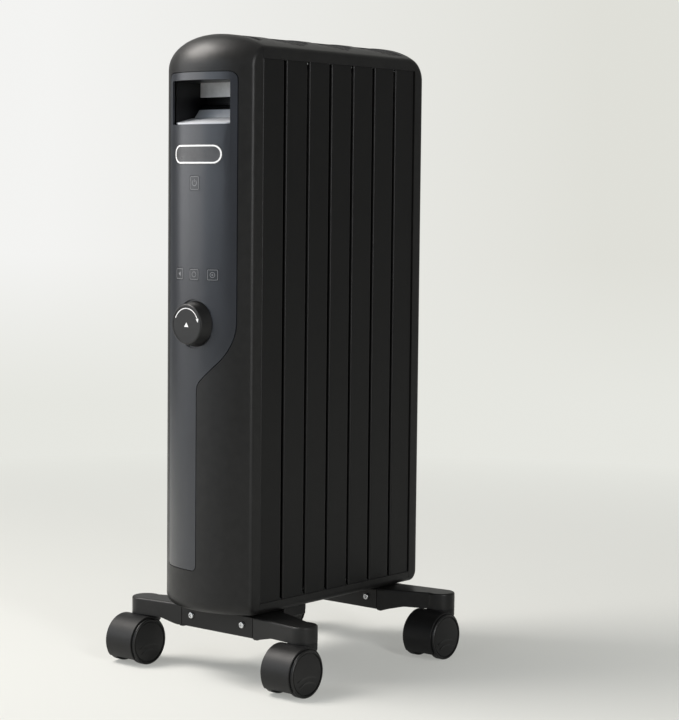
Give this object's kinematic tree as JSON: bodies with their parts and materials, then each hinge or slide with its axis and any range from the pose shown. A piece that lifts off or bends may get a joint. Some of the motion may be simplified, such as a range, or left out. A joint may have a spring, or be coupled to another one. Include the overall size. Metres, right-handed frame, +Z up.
{
  "type": "modular electric radiator",
  "caption": "Slim electric radiator on twin-wheel castors: ribbed aluminium modules between moulded shells, gloss control panel with knob and keys, hand pocket in front and air vents on top.",
  "frame": {"origin": "bottom centre of the whole object, on the floor under its middle", "axes": "+Z up, -Y towards the user at the control panel, +X to the right seen from the front"},
  "size_m": [0.2652, 0.333, 0.664],
  "materials": {
    "matte_black": "fine matt texture",
    "gloss_black": "polished",
    "pocket_black": "satin",
    "plate": "satin",
    "key": "polished",
    "knob_black": "satin",
    "shaft_steel": "turned",
    "encoder": "moulded",
    "board": "solder mask",
    "sheet_steel": "zinc plated",
    "radiating": "matt powder coat",
    "element": "annealed sheath",
    "cutout": "phenolic",
    "screw": "nickel plated",
    "tilt": "moulded",
    "gland": "moulded",
    "bar_black": "satin powder coat",
    "hood_black": "satin",
    "stem_steel": "zinc plated",
    "wheel_black": "satin"
  },
  "bodies": {
    "heater": {"front_shell": "matte_black", "rear_shell": "matte_black", "top_cover": "matte_black", "base_tray": "matte_black", "tilt_switch_box": "matte_black", "arm_front_left": "matte_black", "arm_front_right": "matte_black", "arm_rear_left": "matte_black", "arm_rear_right": "matte_black", "control_panel": "gloss_black", "hand_pocket": "pocket_black", "grip_plate": "pocket_black", "name_plate": "plate", "encoder": "encoder", "control_board": "board", "power_board": "board", "heat_shield": "sheet_steel", "upper_frame": "sheet_steel", "lower_frame": "sheet_steel", "radiator_module_1": "radiating", "radiator_module_2": "radiating", "radiator_module_3": "radiating", "rear_fin_panel": "radiating", "heating_element_1": "element", "heating_element_2": "element", "heating_element_3": "element", "thermal_cutouts": "cutout", "module_screws": "screw", "bar_screws": "screw", "base_bolts": "screw", "tilt_switch": "tilt", "cord_gland": "gland", "crossbar_front": "bar_black", "crossbar_rear": "bar_black"},
    "knob": {"knob": "knob_black", "knob_shaft": "shaft_steel"},
    "power_button": {"power_button": "key"},
    "left_key": {"left_key": "key"},
    "middle_key": {"middle_key": "key"},
    "right_key": {"right_key": "key"},
    "castor_front_left": {"castor_hood_front_left": "hood_black", "castor_stem_front_left": "stem_steel", "castor_axle_front_left": "stem_steel"},
    "wheel_front_left_outer": {"wheel_front_left_outer": "wheel_black"},
    "wheel_front_left_inner": {"wheel_front_left_inner": "wheel_black"},
    "castor_front_right": {"castor_hood_front_right": "hood_black", "castor_stem_front_right": "stem_steel", "castor_axle_front_right": "stem_steel"},
    "wheel_front_right_outer": {"wheel_front_right_outer": "wheel_black"},
    "wheel_front_right_inner": {"wheel_front_right_inner": "wheel_black"},
    "castor_rear_left": {"castor_hood_rear_left": "hood_black", "castor_stem_rear_left": "stem_steel", "castor_axle_rear_left": "stem_steel"},
    "wheel_rear_left_outer": {"wheel_rear_left_outer": "wheel_black"},
    "wheel_rear_left_inner": {"wheel_rear_left_inner": "wheel_black"},
    "castor_rear_right": {"castor_hood_rear_right": "hood_black", "castor_stem_rear_right": "stem_steel", "castor_axle_rear_right": "stem_steel"},
    "wheel_rear_right_outer": {"wheel_rear_right_outer": "wheel_black"},
    "wheel_rear_right_inner": {"wheel_rear_right_inner": "wheel_black"}
  },
  "joints": [
    {"name": "knob_turn", "type": "hinge", "parent": "heater", "child": "knob", "pos_m": [0, -0.16655, 0.37], "axis": [0, 1, 0], "continuous": true},
    {"name": "power_button_press", "type": "slide", "parent": "heater", "child": "power_button", "axis": [0, 1, 0], "range_m": [0, 0.0008], "stiffness_N_per_m": 900, "springref_m": -0.0003},
    {"name": "left_key_press", "type": "slide", "parent": "heater", "child": "left_key", "axis": [0, 1, 0], "range_m": [0, 0.0008], "stiffness_N_per_m": 900, "springref_m": -0.0003},
    {"name": "middle_key_press", "type": "slide", "parent": "heater", "child": "middle_key", "axis": [0, 1, 0], "range_m": [0, 0.0008], "stiffness_N_per_m": 900, "springref_m": -0.0003},
    {"name": "right_key_press", "type": "slide", "parent": "heater", "child": "right_key", "axis": [0, 1, 0], "range_m": [0, 0.0008], "stiffness_N_per_m": 900, "springref_m": -0.0003},
    {"name": "castor_front_left_swivel", "type": "hinge", "parent": "heater", "child": "castor_front_left", "pos_m": [-0.1109, -0.11065, 0.05], "axis": [0, 0, 1], "continuous": true},
    {"name": "wheel_front_left_outer_spin", "type": "hinge", "parent": "castor_front_left", "child": "wheel_front_left_outer", "pos_m": [-0.1109, -0.12695, 0.0244], "axis": [1, 0, 0], "continuous": true},
    {"name": "wheel_front_left_inner_spin", "type": "hinge", "parent": "castor_front_left", "child": "wheel_front_left_inner", "pos_m": [-0.1109, -0.12695, 0.0244], "axis": [1, 0, 0], "continuous": true},
    {"name": "castor_front_right_swivel", "type": "hinge", "parent": "heater", "child": "castor_front_right", "pos_m": [0.1109, -0.11065, 0.05], "axis": [0, 0, 1], "continuous": true},
    {"name": "wheel_front_right_outer_spin", "type": "hinge", "parent": "castor_front_right", "child": "wheel_front_right_outer", "pos_m": [0.1109, -0.12695, 0.0244], "axis": [1, 0, 0], "continuous": true},
    {"name": "wheel_front_right_inner_spin", "type": "hinge", "parent": "castor_front_right", "child": "wheel_front_right_inner", "pos_m": [0.1109, -0.12695, 0.0244], "axis": [1, 0, 0], "continuous": true},
    {"name": "castor_rear_left_swivel", "type": "hinge", "parent": "heater", "child": "castor_rear_left", "pos_m": [-0.1109, 0.12175, 0.05], "axis": [0, 0, 1], "continuous": true},
    {"name": "wheel_rear_left_outer_spin", "type": "hinge", "parent": "castor_rear_left", "child": "wheel_rear_left_outer", "pos_m": [-0.1109, 0.10545, 0.0244], "axis": [1, 0, 0], "continuous": true},
    {"name": "wheel_rear_left_inner_spin", "type": "hinge", "parent": "castor_rear_left", "child": "wheel_rear_left_inner", "pos_m": [-0.1109, 0.10545, 0.0244], "axis": [1, 0, 0], "continuous": true},
    {"name": "castor_rear_right_swivel", "type": "hinge", "parent": "heater", "child": "castor_rear_right", "pos_m": [0.1109, 0.12175, 0.05], "axis": [0, 0, 1], "continuous": true},
    {"name": "wheel_rear_right_outer_spin", "type": "hinge", "parent": "castor_rear_right", "child": "wheel_rear_right_outer", "pos_m": [0.1109, 0.10545, 0.0244], "axis": [1, 0, 0], "continuous": true},
    {"name": "wheel_rear_right_inner_spin", "type": "hinge", "parent": "castor_rear_right", "child": "wheel_rear_right_inner", "pos_m": [0.1109, 0.10545, 0.0244], "axis": [1, 0, 0], "continuous": true}
  ]
}
